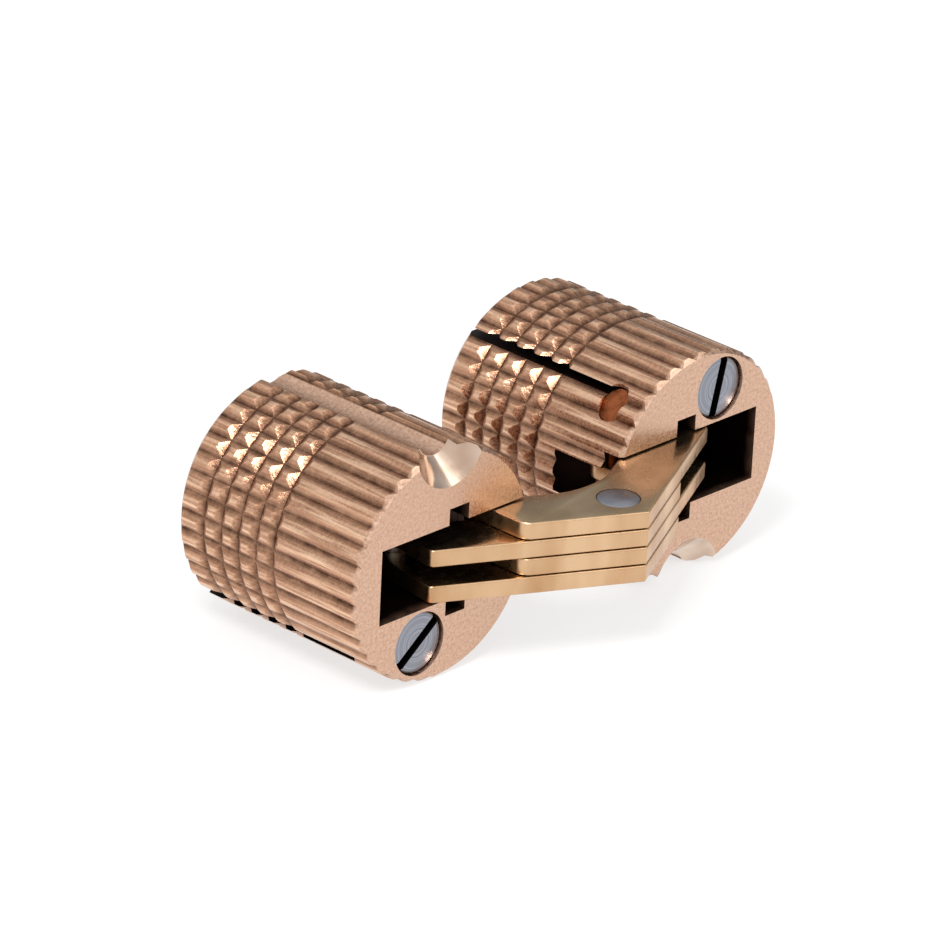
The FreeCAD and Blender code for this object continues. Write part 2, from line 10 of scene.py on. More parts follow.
import bmesh
import bpy
from mathutils import Matrix, Vector


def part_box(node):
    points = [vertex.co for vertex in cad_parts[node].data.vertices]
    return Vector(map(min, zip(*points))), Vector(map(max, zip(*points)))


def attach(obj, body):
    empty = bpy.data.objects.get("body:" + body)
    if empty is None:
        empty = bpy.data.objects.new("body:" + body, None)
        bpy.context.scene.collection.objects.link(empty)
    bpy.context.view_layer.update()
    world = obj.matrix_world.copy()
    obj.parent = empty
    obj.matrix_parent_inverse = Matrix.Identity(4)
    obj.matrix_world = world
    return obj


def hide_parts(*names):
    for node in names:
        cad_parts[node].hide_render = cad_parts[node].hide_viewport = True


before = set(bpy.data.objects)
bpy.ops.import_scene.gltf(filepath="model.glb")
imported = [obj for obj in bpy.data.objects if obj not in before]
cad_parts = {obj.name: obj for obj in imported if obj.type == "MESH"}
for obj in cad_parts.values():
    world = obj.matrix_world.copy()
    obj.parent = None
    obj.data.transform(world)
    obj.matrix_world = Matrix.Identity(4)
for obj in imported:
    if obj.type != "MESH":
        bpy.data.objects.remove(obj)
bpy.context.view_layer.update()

MM = 0.001

# %% [markdown]
# ## Where things are
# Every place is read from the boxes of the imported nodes, so nothing has to be fitted by eye. A barrel is worked
# on in a frame of its own: the axis runs along Y, the face is at y = 0 and the plates leave towards +X. The door
# barrel is the same shape turned half way round about its axis.

# %% Measure the barrels, the plates and the pins
def middle(node):
    """The middle of a node's box."""
    low, high = (Vector(corner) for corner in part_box(node))
    return (low + high) / 2


def extent(node):
    """The size of a node's box along X, Y and Z."""
    low, high = (Vector(corner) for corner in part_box(node))
    return high - low


frame_low = Vector(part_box("frame_barrel")[0])
door_high = Vector(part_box("door_barrel")[1])
BARREL_RADIUS = 7.0 * MM
BARREL_LENGTH = extent("frame_barrel").y
FACE_Y = frame_low.y
AXIS_Z = frame_low.z + BARREL_RADIUS
AXIS_X = door_high.x - BARREL_RADIUS
HALF_TURN = Matrix.Rotation(math.pi, 4, "Y")
BARREL_PLACES = {
    "frame": Matrix.Translation((-AXIS_X, FACE_Y, AXIS_Z)),
    "door": Matrix.Translation((AXIS_X, FACE_Y, AXIS_Z)) @ HALF_TURN,
}


def barrel_point(node):
    """The middle of a frame-side node in the barrel's own frame."""
    return middle(node) - Vector((-AXIS_X, FACE_Y, AXIS_Z))


print("barrel length", round(BARREL_LENGTH / MM, 2), "mm, axes", round(2 * AXIS_X / MM, 2), "mm apart")

# %% [markdown]
# ## Helpers for meshes
# Each shape starts in a bmesh and becomes one object at the origin. Slots and holes are carved with the Boolean
# modifier, and the carved mesh is kept instead of the modifier, so the piece stays a plain closed mesh.

# %% Make, weld and carve objects
WELD = 0.002 * MM


def to_object(name, bm, *materials):
    """Makes an object from a bmesh, with its normals outwards."""
    bmesh.ops.remove_doubles(bm, verts=bm.verts, dist=WELD)
    bmesh.ops.recalc_face_normals(bm, faces=bm.faces)
    mesh = bpy.data.meshes.new(name)
    bm.to_mesh(mesh)
    bm.free()
    for material in materials:
        mesh.materials.append(material)
    item = bpy.data.objects.new(name, mesh)
    bpy.context.scene.collection.objects.link(item)
    return item


def weld(item):
    """Joins points that a cut left almost in one place, so that the mesh stays closed for the next cut."""
    bm = bmesh.new()
    bm.from_mesh(item.data)
    bmesh.ops.remove_doubles(bm, verts=bm.verts, dist=WELD)
    bmesh.ops.dissolve_degenerate(bm, edges=bm.edges, dist=WELD)
    bm.to_mesh(item.data)
    bm.free()


def carve(item, *cutters, operation="DIFFERENCE"):
    """Applies cutters to an object one after the other and throws the cutters away."""
    for cutter in cutters:
        step = item.modifiers.new("carve", "BOOLEAN")
        step.operation = operation
        step.solver = "EXACT"
        step.material_mode = "TRANSFER"
        step.object = cutter
        bpy.context.view_layer.update()
        evaluated = item.evaluated_get(bpy.context.evaluated_depsgraph_get())
        carved = bpy.data.meshes.new_from_object(evaluated)
        item.modifiers.clear()
        item.data = carved
        bpy.data.objects.remove(cutter)
        weld(item)


def finish_edges(item, degrees):
    """Smooth shading that stays crisp at edges sharper than an angle."""
    item.data.polygons.foreach_set("use_smooth", [True] * len(item.data.polygons))
    item.data.set_sharp_from_angle(angle=math.radians(degrees))


def settle(item, body, slot, *nodes):
    """Says which body carries a piece and which nodes it stands for; the slot argument is not used."""
    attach(item, body)
    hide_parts(*nodes)
    print(item.name, "has", len(item.data.polygons), "faces")


print("points closer than", WELD / MM, "mm are joined")

# %% [markdown]
# ## Simple solids
# Most pieces and all cutters are one of three shapes: a solid turned about the Y axis, a straight prism along Z, or
# an upright round bar. A spin, an extrusion and a cone make them, so no list of faces is worked out by hand. Pressed
# and cut metal has no perfectly sharp rims, so one more helper breaks the level edges of a plate or a bar.

# %% Turned solids, prisms, bars and broken edges
LEVEL = 0.001 * MM


def turned(profile, steps):
    """A closed solid of revolution about Y from (radius, y) points that start and end on the axis."""
    bm = bmesh.new()
    spots = [bm.verts.new((radius, y, 0)) for radius, y in profile]
    edges = [bm.edges.new(pair) for pair in zip(spots, spots[1:])]
    bmesh.ops.spin(bm, geom=spots + edges, axis=(0, 1, 0), cent=(0, 0, 0), angle=math.tau, steps=steps,
                   use_merge=True)
    bmesh.ops.remove_doubles(bm, verts=bm.verts, dist=WELD)
    return bm


def prism(corners, low, high):
    """A straight prism along Z over (x, y) corners."""
    bm = bmesh.new()
    base = bm.faces.new([bm.verts.new((x, y, low)) for x, y in corners])
    grown = bmesh.ops.extrude_face_region(bm, geom=[base])
    top = [item for item in grown["geom"] if isinstance(item, bmesh.types.BMVert)]
    bmesh.ops.translate(bm, verts=top, vec=(0, 0, high - low))
    bmesh.ops.recalc_face_normals(bm, faces=bm.faces)
    return bm


def upright_bar(x, y, radius, low, high, segments=48):
    """A round bar along Z."""
    bm = bmesh.new()
    place = Matrix.Translation((x, y, (low + high) / 2))
    bmesh.ops.create_cone(bm, cap_ends=True, segments=segments, radius1=radius, radius2=radius, depth=high - low,
                          matrix=place)
    return bm


def break_level_edges(bm, size, segments):
    """Bevels every level edge, which are the rims of a plate or an upright bar."""
    rims = [edge for edge in bm.edges if abs(edge.verts[0].co.z - edge.verts[1].co.z) < LEVEL]
    bmesh.ops.bevel(bm, geom=rims, offset=size, offset_type="OFFSET", segments=segments, profile=0.5,
                    affect="EDGES", material=-1, clamp_overlap=True)


print("an edge is level within", LEVEL / MM, "mm")

# %% [markdown]
# ## Metal effects
# Three effects are shared by the metals, so each is a node group that is built once: a fine grain, rings left by
# the lathe, and painted shade that darkens low places. Each puts out values that change over the surface. What is
# the same all over a surface is set on the shader itself.

# %% Node group helpers
def new_group(name, inputs, outputs):
    """An empty shader node group with float or colour sockets."""
    group = bpy.data.node_groups.new(name, "ShaderNodeTree")
    for label, kind, default in inputs:
        socket = group.interface.new_socket(label, in_out="INPUT", socket_type=kind)
        if default is not None:
            socket.default_value = default
    for label, kind in outputs:
        group.interface.new_socket(label, in_out="OUTPUT", socket_type=kind)
    source = group.nodes.new("NodeGroupInput")
    sink = group.nodes.new("NodeGroupOutput")
    return group, source, sink


def math_node(tree, operation, first, second):
    """A math node whose two inputs are sockets or numbers."""
    node = tree.nodes.new("ShaderNodeMath")
    node.operation = operation
    for socket, value in zip(node.inputs, (first, second)):
        if isinstance(value, (int, float)):
            socket.default_value = value
        else:
            tree.links.new(value, socket)
    return node.outputs[0]


def map_range(tree, value, from_low, from_high, to_low, to_high):
    """Maps a value from one range to another, and holds it there."""
    node = tree.nodes.new("ShaderNodeMapRange")
    tree.links.new(value, node.inputs["Value"])
    ends = {"From Min": from_low, "From Max": from_high, "To Min": to_low, "To Max": to_high}
    for label, number in ends.items():
        if isinstance(number, (int, float)):
            node.inputs[label].default_value = number
        else:
            tree.links.new(number, node.inputs[label])
    return node.outputs["Result"]


def noise(tree, vector, scale, detail=3.0, roughness=0.55):
    """A noise value at a place."""
    node = tree.nodes.new("ShaderNodeTexNoise")
    node.inputs["Detail"].default_value = detail
    node.inputs["Roughness"].default_value = roughness
    if isinstance(scale, (int, float)):
        node.inputs["Scale"].default_value = scale
    else:
        tree.links.new(scale, node.inputs["Scale"])
    tree.links.new(vector, node.inputs["Vector"])
    return node.outputs["Fac"]


# %% Build the three metal effects
VECTOR = "NodeSocketVector"
FLOAT = "NodeSocketFloat"
NOISE_SPAN = (0.3, 0.7)
CLOUD_SHARE = 0.22
LEAST_SHADE = 0.55

grain_group, source, sink = new_group(
    "metal_grain", [("Place", VECTOR, None), ("Scale", FLOAT, 900.0)], [("Fine", FLOAT), ("Cloud", FLOAT)])
fine = noise(grain_group, source.outputs["Place"], source.outputs["Scale"], detail=4.0)
cloud_scale = math_node(grain_group, "MULTIPLY", source.outputs["Scale"], CLOUD_SHARE)
cloud = noise(grain_group, source.outputs["Place"], cloud_scale, detail=2.0)
grain_group.links.new(fine, sink.inputs["Fine"])
grain_group.links.new(cloud, sink.inputs["Cloud"])

rings_group, source, sink = new_group(
    "lathe_rings", [("Place", VECTOR, None), ("Rings per metre", FLOAT, 9000.0)],
    [("Height", FLOAT), ("Radius", FLOAT)])
split = rings_group.nodes.new("ShaderNodeSeparateXYZ")
rings_group.links.new(source.outputs["Place"], split.inputs[0])
across = math_node(rings_group, "MULTIPLY", split.outputs["X"], split.outputs["X"])
upward = math_node(rings_group, "MULTIPLY", split.outputs["Z"], split.outputs["Z"])
radius = math_node(rings_group, "SQRT", math_node(rings_group, "ADD", across, upward), 0.0)
ring_count = math_node(rings_group, "MULTIPLY", radius, source.outputs["Rings per metre"])
along = rings_group.nodes.new("ShaderNodeCombineXYZ")
rings_group.links.new(ring_count, along.inputs["X"])
ripple = noise(rings_group, along.outputs[0], 1.0, detail=1.0)
rings_group.links.new(ripple, sink.inputs["Height"])
rings_group.links.new(radius, sink.inputs["Radius"])

# low_shade is painted shade: a mask that darkens the low places of a surface, patchy by the cloud noise.
low_shade_group, source, sink = new_group(
    "low_shade", [("Height", FLOAT, 0.0), ("Low", FLOAT, 0.0), ("High", FLOAT, 1.0), ("Cloud", FLOAT, 0.5)],
    [("Mask", FLOAT)])
depth = map_range(low_shade_group, source.outputs["Height"], source.outputs["Low"], source.outputs["High"], 1.0, 0.0)
patchy = map_range(low_shade_group, source.outputs["Cloud"], *NOISE_SPAN, LEAST_SHADE, 1.0)
low_shade_group.links.new(math_node(low_shade_group, "MULTIPLY", depth, patchy), sink.inputs["Mask"])
print("effects:", [group.name for group in bpy.data.node_groups])

# %% [markdown]
# ## Metal finishes
# The barrels are turned and knurled brass with a pinkish tone, the plates are stamped from yellower sheet, and the
# screws and pins are steel. All patterns read Object coordinates in metres, so they keep their real scale. First
# come the helpers that every finish uses.

# %% Helpers for finishes
def srgb(red, green, blue):
    """A colour given as it looks on a screen, 0 to 255, as linear light."""
    def linear(part):
        share = part / 255
        return share / 12.92 if share <= 0.04045 else ((share + 0.055) / 1.055) ** 2.4
    return (linear(red), linear(green), linear(blue), 1.0)


def place_group(tree, group, **values):
    """Puts a node group into a material with its own values or links."""
    node = tree.nodes.new("ShaderNodeGroup")
    node.node_tree = group
    for label, value in values.items():
        socket = node.inputs[label.replace("_", " ")]
        if isinstance(value, (int, float)):
            socket.default_value = value
        else:
            tree.links.new(value, socket)
    return node


def mix_colour(tree, factor, first, second):
    """Mixes two colours, each a colour or a socket."""
    node = tree.nodes.new("ShaderNodeMix")
    node.data_type = "RGBA"
    tree.links.new(factor, node.inputs["Factor"])
    for label, value in (("A", first), ("B", second)):
        socket = [item for item in node.inputs if item.name == label and item.type == "RGBA"][0]
        if isinstance(value, tuple):
            socket.default_value = value
        else:
            tree.links.new(value, socket)
    return [item for item in node.outputs if item.type == "RGBA"][0]


def new_metal(name):
    """A metallic material; gives its tree, its shader and a place in metres."""
    material = bpy.data.materials.new(name)
    material.use_nodes = True
    tree = material.node_tree
    shader = tree.nodes["Principled BSDF"]
    shader.inputs["Metallic"].default_value = 1.0
    where = tree.nodes.new("ShaderNodeTexCoord").outputs["Object"]
    return material, tree, shader, where


def moved(tree, where, origin, scale=(1.0, 1.0, 1.0)):
    """A place measured from another origin and stretched."""
    node = tree.nodes.new("ShaderNodeMapping")
    node.inputs["Scale"].default_value = scale
    node.inputs["Location"].default_value = [-part * factor for part, factor in zip(origin, scale)]
    tree.links.new(where, node.inputs["Vector"])
    return node.outputs[0]


def add_bump(tree, shader, height, strength, distance):
    """Bends the shading normal by a height that changes over the surface."""
    bump = tree.nodes.new("ShaderNodeBump")
    bump.inputs["Strength"].default_value = strength
    bump.inputs["Distance"].default_value = distance
    tree.links.new(height, bump.inputs["Height"])
    tree.links.new(bump.outputs[0], shader.inputs["Normal"])


print("a colour of 128 is", round(srgb(128, 128, 128)[0], 3), "in linear light")

# %% [markdown]
# ### Barrel brass
# The face of a barrel is freshly turned and speckled. The knurled side takes a darker, browner copy of the brass as
# painted shade, and its flanks show fine streaks along the barrel. Its crests are rubbed bright and carry a painted
# highlight, some more than others, and painted shade darkens the grooves. The distance from the barrel's axis tells
# crest from groove, so one material serves the face and the side.

# %% Barrel brass
KNURL_DEPTH = 0.25 * MM
FACE_BRIGHT = srgb(216, 180, 156)
FACE_TONE = srgb(190, 150, 126)
# The knurled side's tones are darker and browner than the face's as painted shade.
SIDE_BRIGHT = srgb(220, 172, 140)
SIDE_DARK = srgb(166, 120, 94)
# GROOVE_SHADE is painted shade: the colour that darkens the knurl's grooves.
GROOVE_SHADE = srgb(76, 48, 34)
# CREST_WEAR_AND_GLINT is rubbed brass and a painted highlight on the knurl's crests.
CREST_WEAR_AND_GLINT = srgb(244, 206, 174)
GRAIN_SCALE = 5200.0
STREAK_SCALE = 5600.0
STREAK_STRETCH = (1.0, 0.04, 1.0)
FACE_RINGS = 14000.0
SHADE_TOP = BARREL_RADIUS - 0.2 * KNURL_DEPTH
CREST_START = BARREL_RADIUS - 0.3 * KNURL_DEPTH
FACE_EDGE = (0.15 * MM, 0.35 * MM)
SIDE_EDGE = (BARREL_RADIUS - 1.4 * KNURL_DEPTH, BARREL_RADIUS - 1.15 * KNURL_DEPTH)
STREAK_SPAN = (0.4, 0.6)
STREAK_SHARE = 0.6
SPECKLE_SPAN = (0.3, 0.62)
RUBBED_GLINT_SPAN = (0.42, 0.58)
RUBBED_GLINT_LEAST = 0.15
UNEVEN_SPAN = (0.38, 0.6)
UNEVEN_LEAST = 0.3
BARREL_ROUGHNESS = (0.18, 0.42)
RING_HEIGHT = 0.4
STREAK_HEIGHT = 1.2
FACE_PITS = 0.35
BARREL_BUMP = 0.6
BARREL_RELIEF = 0.03 * MM


def knurled_side(tree, local, radius):
    """A mask that is 1 on the knurled side and 0 on the face and in the holes."""
    behind = tree.nodes.new("ShaderNodeSeparateXYZ")
    tree.links.new(local, behind.inputs[0])
    off_face = map_range(tree, behind.outputs["Y"], *FACE_EDGE, 0.0, 1.0)
    outside = map_range(tree, radius, *SIDE_EDGE, 0.0, 1.0)
    return math_node(tree, "MULTIPLY", off_face, outside)


def side_colour(tree, radius, grain, drawn, speckle):
    """The knurled side: streaked flanks darker than the face as painted shade, painted shade in the grooves,
    and crests that are rubbed bright with a painted highlight.
    """
    # Painted shade: the grooves are darkened towards the root of the knurl.
    groove_shade = place_group(tree, low_shade_group, Height=radius, Low=BARREL_RADIUS - KNURL_DEPTH, High=SHADE_TOP,
                       Cloud=grain.outputs["Cloud"])
    streak = map_range(tree, drawn.outputs["Fine"], *STREAK_SPAN, 0.0, 1.0)
    streaks = math_node(tree, "MULTIPLY", streak, STREAK_SHARE)
    specks = math_node(tree, "MULTIPLY", speckle, 1 - STREAK_SHARE)
    # The flanks take the side's darker tone, painted shade, with streaks and specks.
    flank = mix_colour(tree, math_node(tree, "ADD", streaks, specks), SIDE_DARK, SIDE_BRIGHT)
    shaded_flank = mix_colour(tree, groove_shade.outputs["Mask"], flank, GROOVE_SHADE)
    # Rubbed brass and a painted highlight: the crests are lightened towards the full radius, some more than others.
    crest = map_range(tree, radius, CREST_START, BARREL_RADIUS, 0.0, 1.0)
    rubbed_glint = map_range(tree, drawn.outputs["Fine"], *RUBBED_GLINT_SPAN, RUBBED_GLINT_LEAST, 1.0)
    uneven = map_range(tree, drawn.outputs["Cloud"], *UNEVEN_SPAN, UNEVEN_LEAST, 1.0)
    crest_wear_and_glint = math_node(tree, "MULTIPLY", crest, math_node(tree, "MULTIPLY", rubbed_glint, uneven))
    return mix_colour(tree, crest_wear_and_glint, shaded_flank, CREST_WEAR_AND_GLINT)


def barrel_brass(name, axis_x):
    """Turned brass: lathe rings on the face; drawn streaks, painted groove shade and painted crest highlights on the
    knurled side.
    """
    material, tree, shader, where = new_metal(name)
    axis = (axis_x, FACE_Y, AXIS_Z)
    local = moved(tree, where, axis)
    stretched = moved(tree, where, axis, STREAK_STRETCH)
    grain = place_group(tree, grain_group, Place=local, Scale=GRAIN_SCALE)
    drawn = place_group(tree, grain_group, Place=stretched, Scale=STREAK_SCALE)
    rings = place_group(tree, rings_group, Place=local, Rings_per_metre=FACE_RINGS)
    side = knurled_side(tree, local, rings.outputs["Radius"])
    speckle = map_range(tree, grain.outputs["Fine"], *SPECKLE_SPAN, 0.0, 1.0)
    face_tone = mix_colour(tree, speckle, FACE_TONE, FACE_BRIGHT)
    side_tone = side_colour(tree, rings.outputs["Radius"], grain, drawn, speckle)
    tree.links.new(mix_colour(tree, side, face_tone, side_tone), shader.inputs["Base Color"])
    rough = map_range(tree, grain.outputs["Fine"], *NOISE_SPAN, *BARREL_ROUGHNESS)
    tree.links.new(rough, shader.inputs["Roughness"])
    turned_marks = math_node(tree, "MULTIPLY", rings.outputs["Height"], RING_HEIGHT)
    side_streaks = math_node(tree, "MULTIPLY", drawn.outputs["Fine"], side)
    drawn_marks = math_node(tree, "MULTIPLY", side_streaks, STREAK_HEIGHT)
    pit_depth = map_range(tree, side, 0.0, 1.0, FACE_PITS, 1.0)
    pits = math_node(tree, "MULTIPLY", grain.outputs["Fine"], pit_depth)
    relief = math_node(tree, "ADD", math_node(tree, "ADD", turned_marks, drawn_marks), pits)
    add_bump(tree, shader, relief, BARREL_BUMP, BARREL_RELIEF)
    return material


frame_brass = barrel_brass("frame_barrel_brass", -AXIS_X)
door_brass = barrel_brass("door_barrel_brass", AXIS_X)
print("barrel finishes:", frame_brass.name, door_brass.name)

# %% [markdown]
# ### Slots, plates, pins and screws
# The inside of a slot is plain brass at its mouth and darker further in, as painted shade. Plates, pins and
# recesses share one plain metal with its own tone and grain. The screws are plated steel, and their faces keep the
# rings of the lathe.

# %% The other metals
# SLOT_SHADE is painted shade: the brass inside a slot darkens towards it from the mouth inwards.
SLOT_SHADE = srgb(44, 28, 22)
SHADE_START = 0.3 * MM
SHADE_FULL = 1.2 * MM
SLOT_GRAIN = 1500.0
SLOT_ROUGHNESS = (0.35, 0.5)
STAIN_SPAN = (0.35, 0.68)
FINE_RELIEF = 0.02 * MM
STEEL_BRIGHT = srgb(166, 169, 178)
STEEL_DULL = srgb(116, 119, 128)
SCREW_GRAIN = 1200.0
SCREW_RINGS = 12000.0
RING_SPAN = (0.35, 0.65)
SCREW_ROUGHNESS = (0.26, 0.4)
SCREW_BUMP = 0.3


def plain_metal(name, bright, dull, scale, stretch, roughness, relief):
    """A metal with clouds of a duller tone and a fine grain that may be stretched along one direction."""
    material, tree, shader, where = new_metal(name)
    local = moved(tree, where, (0, 0, 0), stretch)
    grain = place_group(tree, grain_group, Place=local, Scale=scale)
    clouds = map_range(tree, grain.outputs["Cloud"], *STAIN_SPAN, 0.0, 1.0)
    tree.links.new(mix_colour(tree, clouds, bright, dull), shader.inputs["Base Color"])
    rough = map_range(tree, grain.outputs["Fine"], *NOISE_SPAN, *roughness)
    tree.links.new(rough, shader.inputs["Roughness"])
    add_bump(tree, shader, grain.outputs["Fine"], relief, FINE_RELIEF)
    return material


def shaded_slot_brass(name):
    """Brass inside a slot: plain at the mouth and darker further in, as painted shade."""
    material, tree, shader, where = new_metal(name)
    local = moved(tree, where, (0, FACE_Y, 0))
    grain = place_group(tree, grain_group, Place=local, Scale=SLOT_GRAIN)
    inwards = tree.nodes.new("ShaderNodeSeparateXYZ")
    tree.links.new(local, inwards.inputs[0])
    waver = math_node(tree, "MULTIPLY", grain.outputs["Cloud"], MM)
    uneven = math_node(tree, "ADD", inwards.outputs["Y"], waver)
    # Painted shade: darker the further the point lies behind the face.
    dull = map_range(tree, uneven, SHADE_START, SHADE_FULL, 0.0, 1.0)
    tree.links.new(mix_colour(tree, dull, FACE_TONE, SLOT_SHADE), shader.inputs["Base Color"])
    rough = map_range(tree, grain.outputs["Fine"], *NOISE_SPAN, *SLOT_ROUGHNESS)
    tree.links.new(rough, shader.inputs["Roughness"])
    return material


def screw_face(name, node):
    """Plated steel with the rings of a turned end."""
    material, tree, shader, where = new_metal(name)
    local = moved(tree, where, middle(node))
    grain = place_group(tree, grain_group, Place=local, Scale=SCREW_GRAIN)
    rings = place_group(tree, rings_group, Place=local, Rings_per_metre=SCREW_RINGS)
    streak = map_range(tree, rings.outputs["Height"], *RING_SPAN, 0.0, 1.0)
    tree.links.new(mix_colour(tree, streak, STEEL_DULL, STEEL_BRIGHT), shader.inputs["Base Color"])
    rough = map_range(tree, grain.outputs["Fine"], *NOISE_SPAN, *SCREW_ROUGHNESS)
    tree.links.new(rough, shader.inputs["Roughness"])
    add_bump(tree, shader, rings.outputs["Height"], SCREW_BUMP, FINE_RELIEF)
    return material


# %% Mix the other metals
# The upright plate edges take a lighter copy of the plate brass, partly sheared metal and partly painted light; the
# flat faces keep the darker tone.
PLATE_FACE = srgb(192, 168, 136)
PLATE_STAIN = srgb(166, 142, 110)
PLATE_EDGE_LIT = srgb(218, 182, 144)
PLATE_SHEAR = srgb(190, 148, 108)
# The countersink's near-white brass, SINK_HIGHLIGHT with SINK_DULL, is a painted highlight.
SINK_HIGHLIGHT = srgb(234, 214, 196)
SINK_DULL = srgb(188, 160, 140)
# DRIVER_SHADE is painted shade: a near-black colour for the inside of the driver slots.
DRIVER_SHADE = srgb(26, 24, 24)
BRONZE_END = srgb(154, 88, 54)
BRONZE_DULL = srgb(96, 50, 28)
EVEN = (1, 1, 1)
ROLLED = (1, 1.6, 1)
SHEARED = (2, 2, 0.6)

slot_shade_brass = shaded_slot_brass("slot_shade_brass")
plate_brass = plain_metal("plate_brass", PLATE_FACE, PLATE_STAIN, 1100.0, ROLLED, (0.20, 0.30), 0.12)
lit_shear_brass = plain_metal("lit_shear_brass", PLATE_EDGE_LIT, PLATE_SHEAR, 900.0, SHEARED, (0.24, 0.36), 0.25)
pin_steel = plain_metal("pin_steel", STEEL_BRIGHT, STEEL_DULL, 1500.0, EVEN, (0.30, 0.45), 0.25)
driver_shade = plain_metal("driver_shade", DRIVER_SHADE, DRIVER_SHADE, 1500.0, EVEN, (0.4, 0.6), 0.2)
pivot_bronze = plain_metal("pivot_bronze", BRONZE_END, BRONZE_DULL, 5200.0, EVEN, (0.2, 0.5), 1.0)
sink_highlight_brass = plain_metal("sink_highlight_brass", SINK_HIGHLIGHT, SINK_DULL, 1500.0, EVEN, (0.1, 0.2), 0.08)
frame_steel = screw_face("frame_screw_steel", "frame_expander_screw")
door_steel = screw_face("door_screw_steel", "door_expander_screw")
print("finishes:", [material.name for material in bpy.data.materials if material.use_nodes])

# %% [markdown]
# ## The knurled barrels
# A knurling wheel presses straight ridges along the barrel, and rings cut across their rear ends leave rows of
# small pyramids. A ring of cells, one for each ridge and row, makes both at once: every cell is inset and raised,
# so a short cell becomes a pyramid and a long one a ridge. The ends are then turned down with a chamfer.

# %% Raise the knurl
RIDGES = 36
HALF_PITCH = math.pi / RIDGES
ROOT_RADIUS = BARREL_RADIUS - KNURL_DEPTH
CREST_LAND = 0.35 * MM
NOTCH_ROWS = 5
NOTCH_PITCH = 1.4 * MM
NOTCH_MARGIN = 2.15 * MM
NOTCH_LAND = 0.4 * MM
KNURL_ROUND = 0.03 * MM
OVERRUN = 1.5 * MM
ALONG_Y = Matrix.Rotation(-math.pi / 2, 4, "X")


def knurled_bar():
    """A closed bar with raised ridges and pyramids, longer than the barrel at both ends."""
    bm = bmesh.new()
    notches = [BARREL_LENGTH - NOTCH_MARGIN - NOTCH_PITCH * row for row in reversed(range(NOTCH_ROWS))]
    stations = [-OVERRUN] + notches + [BARREL_LENGTH + OVERRUN]
    stand = Matrix.Translation((0, stations[0], 0)) @ Matrix.Rotation(HALF_PITCH, 4, "Y") @ ALONG_Y
    bmesh.ops.create_circle(bm, segments=RIDGES, radius=ROOT_RADIUS, matrix=stand)
    rim = list(bm.edges)
    for before, after in zip(stations, stations[1:]):
        grown = bmesh.ops.extrude_edge_only(bm, edges=rim)
        spots = [item for item in grown["geom"] if isinstance(item, bmesh.types.BMVert)]
        rim = [item for item in grown["geom"] if isinstance(item, bmesh.types.BMEdge)]
        rim = [edge for edge in rim if all(end in spots for end in edge.verts)]
        bmesh.ops.translate(bm, verts=spots, vec=(0, after - before, 0))
    bmesh.ops.recalc_face_normals(bm, faces=bm.faces)
    cells = list(bm.faces)
    outwards = cells[0].calc_center_median() * Vector((1, 0, 1))
    if cells[0].normal.dot(outwards) < 0:
        bmesh.ops.reverse_faces(bm, faces=cells)
    flank = ROOT_RADIUS * math.sin(HALF_PITCH) - CREST_LAND / 2
    raised = BARREL_RADIUS - ROOT_RADIUS * math.cos(HALF_PITCH)
    bmesh.ops.inset_individual(bm, faces=cells, thickness=flank, depth=raised, use_even_offset=True)
    slack = (NOTCH_PITCH - NOTCH_LAND) / 2 - flank
    crests = set()
    for top in cells:
        centre_y = top.calc_center_median().y
        for spot in top.verts:
            spot.co.y += slack if spot.co.y < centre_y else -slack
        crests.update(top.edges)
        crests.update(edge for spot in top.verts for edge in spot.link_edges)
    bmesh.ops.bevel(bm, geom=list(crests), offset=KNURL_ROUND, offset_type="OFFSET", segments=2, profile=0.5,
                    affect="EDGES", material=-1, clamp_overlap=True)
    open_edges = [edge for edge in bm.edges if edge.is_boundary]
    bmesh.ops.holes_fill(bm, edges=open_edges, sides=0)
    return bm


print(RIDGES, "ridges,", NOTCH_ROWS, "rings of notches")

# %% Turn the ends
FACE_CHAMFER = 0.25 * MM
REAR_CHAMFER = 0.6 * MM
CLEAR = 0.5 * MM
TURNING_STEPS = 144


def turning_envelope():
    """The space inside the lathe cuts: a flat face and rear with their chamfers, clear of the crests."""
    wide = BARREL_RADIUS + CLEAR
    front_run = FACE_CHAMFER + CLEAR
    rear_run = REAR_CHAMFER + CLEAR
    return turned([(0, 0), (wide - front_run, 0), (wide, front_run), (wide, BARREL_LENGTH - rear_run),
                   (wide - rear_run, BARREL_LENGTH), (0, BARREL_LENGTH)], TURNING_STEPS)


print("chamfers", FACE_CHAMFER / MM, "mm at the face and", REAR_CHAMFER / MM, "mm at the rear")


# %% [markdown]
# ## Slot, grooves and holes
# The plates fold into a deep slot that is open at the face and at the inner side, with a guide groove above and
# below it. A screw hole, a saw slit, a pivot hole and half a countersunk hole are cut too. Each cutter is a simple
# solid, and the carved faces take the cutter's own finish, so the inside of the slot carries painted shade and the
# countersink a painted highlight.

# %% Cutters of the slot
PAST = 9.0 * MM
PLATE_GAP = 0.025 * MM
SLOT_ROOM = 0.1 * MM
SLOT_HALF = 2 * extent("link_1").z + 3 * PLATE_GAP + SLOT_ROOM
SLOT_OUTER = 4.9 * MM
SLOT_INNER = 3.2 * MM
SLOT_RELIEF = 0.65 * MM
SLOT_DEPTH = 13.417 * MM
MOUTH_DEPTH = 3.0 * MM
LIP_DEPTH = 1.3 * MM
LIP_WALL = 0.78 * MM
LIP_X = BARREL_RADIUS - LIP_WALL
WINDOW_DEPTH = 4.9 * MM
WINDOW_HALF = 1.3 * MM
WINDOW_LAP = 0.5 * MM
WINDOW_STEP = 0.02 * MM
WINDOW_X = LIP_X - WINDOW_LAP
WINDOW_FRONT = LIP_DEPTH - WINDOW_LAP
WINDOW_BACK = WINDOW_DEPTH - WINDOW_STEP
GUIDE = barrel_point("frame_guide_pin")
